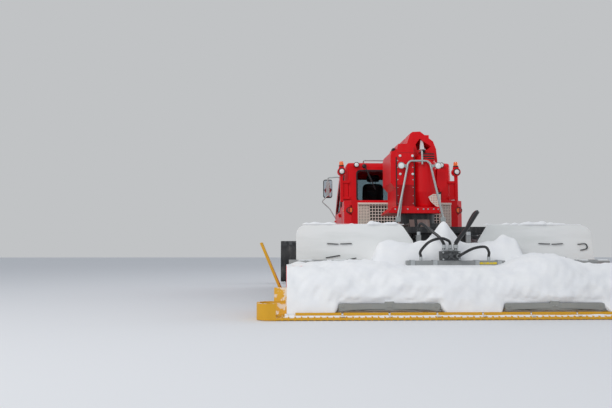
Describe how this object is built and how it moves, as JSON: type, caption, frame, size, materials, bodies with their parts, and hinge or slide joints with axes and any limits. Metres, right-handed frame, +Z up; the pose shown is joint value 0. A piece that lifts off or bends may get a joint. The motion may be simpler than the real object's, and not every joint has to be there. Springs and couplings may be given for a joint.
{
  "type": "tracked snow groomer",
  "caption": "Tracked snow groomer with hollow cab, slewing winch and boom, front blade with folding wings, and a rear tiller with cutter shafts, comb and side finishers.",
  "frame": {"origin": "centre of the whole outline on the ground", "axes": "+Y forward, towards the blade; +X to the vehicle's right; +Z up"},
  "size_m": [5.55, 9.1074, 3.029],
  "materials": {
    "red_paint": "gloss enamel, weathered",
    "dark_paint": "satin black enamel",
    "grey_paint": "satin grey enamel, worn",
    "pedestal_paint": "matt brown primer, dusty",
    "galvanised": "galvanised, dull spangle",
    "grille_steel": "perforated stainless, brushed",
    "rod_chrome": "polished hard chrome",
    "sheave_steel": "turned steel, oiled",
    "engine_iron": "cast, painted grey",
    "sprocket_plastic": "moulded wear plastic on steel",
    "track_rubber": "belts of ribbed rubber with aluminium shoes",
    "tyre_rubber": "smooth tread rubber, snowy",
    "rim_steel": "silver enamel",
    "cab_pane": "tinted safety glass",
    "step_tread": "punched tread plate",
    "seat_cloth": "woven seat cloth",
    "cab_plastic": "grained dashboard plastic",
    "lamp_plastic": "black lamp housing",
    "clear_lens": "clear lamp lens",
    "amber_lens": "amber lens",
    "red_lens": "red lens",
    "mirror_plastic": "black mirror shell",
    "yellow_plastic": "yellow wear plastic",
    "flap_plastic": "white plastic sheet, scuffed",
    "tine_steel": "hardfaced tool steel, worn",
    "spring_steel": "grey enamel over spring steel",
    "hose_rubber": "braided hydraulic hose",
    "valve_iron": "cast manifold with zinc fittings"
  },
  "bodies": {
    "root": {"chassis_hull": "dark_paint", "engine_block": "engine_iron", "axle_arms": "dark_paint", "wheel_tyres": "tyre_rubber", "wheel_rims": "rim_steel", "drive_sprockets": "sprocket_plastic", "track_left": "track_rubber", "track_right": "track_rubber", "load_deck": "dark_paint", "engine_cover": "red_paint", "rear_grille": "grille_steel", "nose_cover": "red_paint", "cab_shell": "red_paint", "cab_glass": "cab_pane", "door_steps": "step_tread", "seat_pads": "seat_cloth", "seat_bases": "dark_paint", "cab_console": "cab_plastic", "lamp_posts": "red_paint", "lamp_housings": "lamp_plastic", "lamp_lenses": "clear_lens", "amber_lenses": "amber_lens", "red_lenses": "red_lens", "mirror_arms": "galvanised", "mirror_heads": "mirror_plastic", "roof_rail": "galvanised", "winch_pedestal": "pedestal_paint"},
    "left_door": {"door_left": "red_paint", "door_left_glass": "cab_pane"},
    "right_door": {"door_right": "red_paint", "door_right_glass": "cab_pane"},
    "winch": {"winch_housing": "red_paint", "winch_boom": "red_paint", "winch_hoop": "galvanised", "winch_lamps": "lamp_plastic"},
    "rope_head": {"boom_head": "dark_paint"},
    "rope_sheave": {"boom_sheave": "sheave_steel"},
    "blade_frame": {"push_frame": "dark_paint"},
    "blade_carrier": {"blade_swivel": "dark_paint"},
    "blade": {"blade_board": "red_paint"},
    "left_wing": {"blade_wing_left": "red_paint"},
    "right_wing": {"blade_wing_right": "red_paint"},
    "blade_cylinders": {"blade_barrels": "dark_paint"},
    "blade_pistons": {"blade_rods": "rod_chrome"},
    "carrier": {"tiller_carrier": "dark_paint"},
    "carrier_cylinders": {"tiller_barrels": "dark_paint"},
    "carrier_pistons": {"tiller_rods": "rod_chrome"},
    "tiller": {"tiller_frame": "grey_paint", "tiller_hood": "red_paint", "snow_flaps": "flap_plastic", "comb_mat": "yellow_plastic", "press_bars": "spring_steel", "hydraulic_block": "valve_iron", "tiller_hoses": "hose_rubber"},
    "left_shaft": {"rotor_left": "tine_steel"},
    "right_shaft": {"rotor_right": "tine_steel"},
    "left_finisher": {"finisher_left": "yellow_plastic"},
    "right_finisher": {"finisher_right": "yellow_plastic"}
  },
  "joints": [
    {"name": "left_door_hinge", "type": "hinge", "parent": "root", "child": "left_door", "pos_m": [-1.224, 1.00426, 1.4], "axis": [0, 0, 1], "range_deg": [0, 75]},
    {"name": "right_door_hinge", "type": "hinge", "parent": "root", "child": "right_door", "pos_m": [1.224, 1.00426, 1.4], "axis": [0, 0, -1], "range_deg": [0, 75]},
    {"name": "winch_slew", "type": "hinge", "parent": "root", "child": "winch", "pos_m": [0, -1.20374, 1.53], "axis": [0, 0, 1], "continuous": true},
    {"name": "rope_head_swivel", "type": "hinge", "parent": "winch", "child": "rope_head", "pos_m": [0.06, 2.21626, 2.945], "axis": [0, 1, 0], "range_deg": [-90, 90]},
    {"name": "rope_sheave_spin", "type": "hinge", "parent": "rope_head", "child": "rope_sheave", "pos_m": [0.06, 2.37626, 2.945], "axis": [1, 0, 0], "continuous": true},
    {"name": "blade_lift", "type": "hinge", "parent": "root", "child": "blade_frame", "pos_m": [0, 2.54626, 0.42], "axis": [1, 0, 0], "range_deg": [-5, 28]},
    {"name": "blade_turn", "type": "hinge", "parent": "blade_frame", "child": "blade_carrier", "pos_m": [0, 3.87626, 0.45], "axis": [0, 0, 1], "range_deg": [-22, 22]},
    {"name": "blade_tilt", "type": "hinge", "parent": "blade_carrier", "child": "blade", "pos_m": [0, 4.09626, 0.45], "axis": [0, 1, 0], "range_deg": [-8, 8]},
    {"name": "left_wing_fold", "type": "hinge", "parent": "blade", "child": "left_wing", "pos_m": [-1.935, 4.49374, 0.6], "axis": [0, 0, -1], "range_deg": [-20, 60]},
    {"name": "right_wing_fold", "type": "hinge", "parent": "blade", "child": "right_wing", "pos_m": [1.935, 4.49374, 0.6], "axis": [0, 0, 1], "range_deg": [-20, 60]},
    {"name": "blade_cylinder_swing", "type": "hinge", "parent": "root", "child": "blade_cylinders", "pos_m": [0, 2.79626, 0.79], "axis": [1, 0, 0], "range_deg": [-6.91, 36.4]},
    {"name": "blade_piston_slide", "type": "slide", "parent": "blade_cylinders", "child": "blade_pistons", "axis": [0, 0.9003, -0.4352], "range_m": [-0.205, 0.0399]},
    {"name": "carrier_lift", "type": "hinge", "parent": "root", "child": "carrier", "pos_m": [0, -2.28374, 0.56], "axis": [-1, 0, 0], "range_deg": [-3, 24]},
    {"name": "carrier_cylinder_swing", "type": "hinge", "parent": "root", "child": "carrier_cylinders", "pos_m": [0, -2.26374, 1.08], "axis": [-1, 0, 0], "range_deg": [-1.68, 9.97]},
    {"name": "carrier_piston_slide", "type": "slide", "parent": "carrier_cylinders", "child": "carrier_pistons", "axis": [0, -0.7628, -0.6467], "range_m": [-0.1737, 0.0252]},
    {"name": "tiller_swing", "type": "hinge", "parent": "carrier", "child": "tiller", "pos_m": [0, -2.90374, 0.6], "axis": [0, 0, 1], "range_deg": [-10, 10]},
    {"name": "left_shaft_spin", "type": "hinge", "parent": "tiller", "child": "left_shaft", "pos_m": [-1.2, -3.60374, 0.345], "axis": [1, 0, 0], "continuous": true},
    {"name": "right_shaft_spin", "type": "hinge", "parent": "tiller", "child": "right_shaft", "pos_m": [1.2, -3.60374, 0.345], "axis": [1, 0, 0], "continuous": true},
    {"name": "left_finisher_fold", "type": "hinge", "parent": "tiller", "child": "left_finisher", "pos_m": [-2.426, -3.70374, 0.24], "axis": [0, -1, 0], "range_deg": [0, 80]},
    {"name": "right_finisher_fold", "type": "hinge", "parent": "tiller", "child": "right_finisher", "pos_m": [2.426, -3.70374, 0.24], "axis": [0, 1, 0], "range_deg": [0, 80]}
  ],
  "couplings": [
    {"joint": "blade_cylinder_swing", "follows": "blade_lift", "ratio": 1.2821},
    {"joint": "blade_piston_slide", "follows": "blade_lift", "m_per_rad": -0.41123},
    {"joint": "carrier_cylinder_swing", "follows": "carrier_lift", "ratio": 0.39444},
    {"joint": "carrier_piston_slide", "follows": "carrier_lift", "m_per_rad": -0.40501}
  ]
}
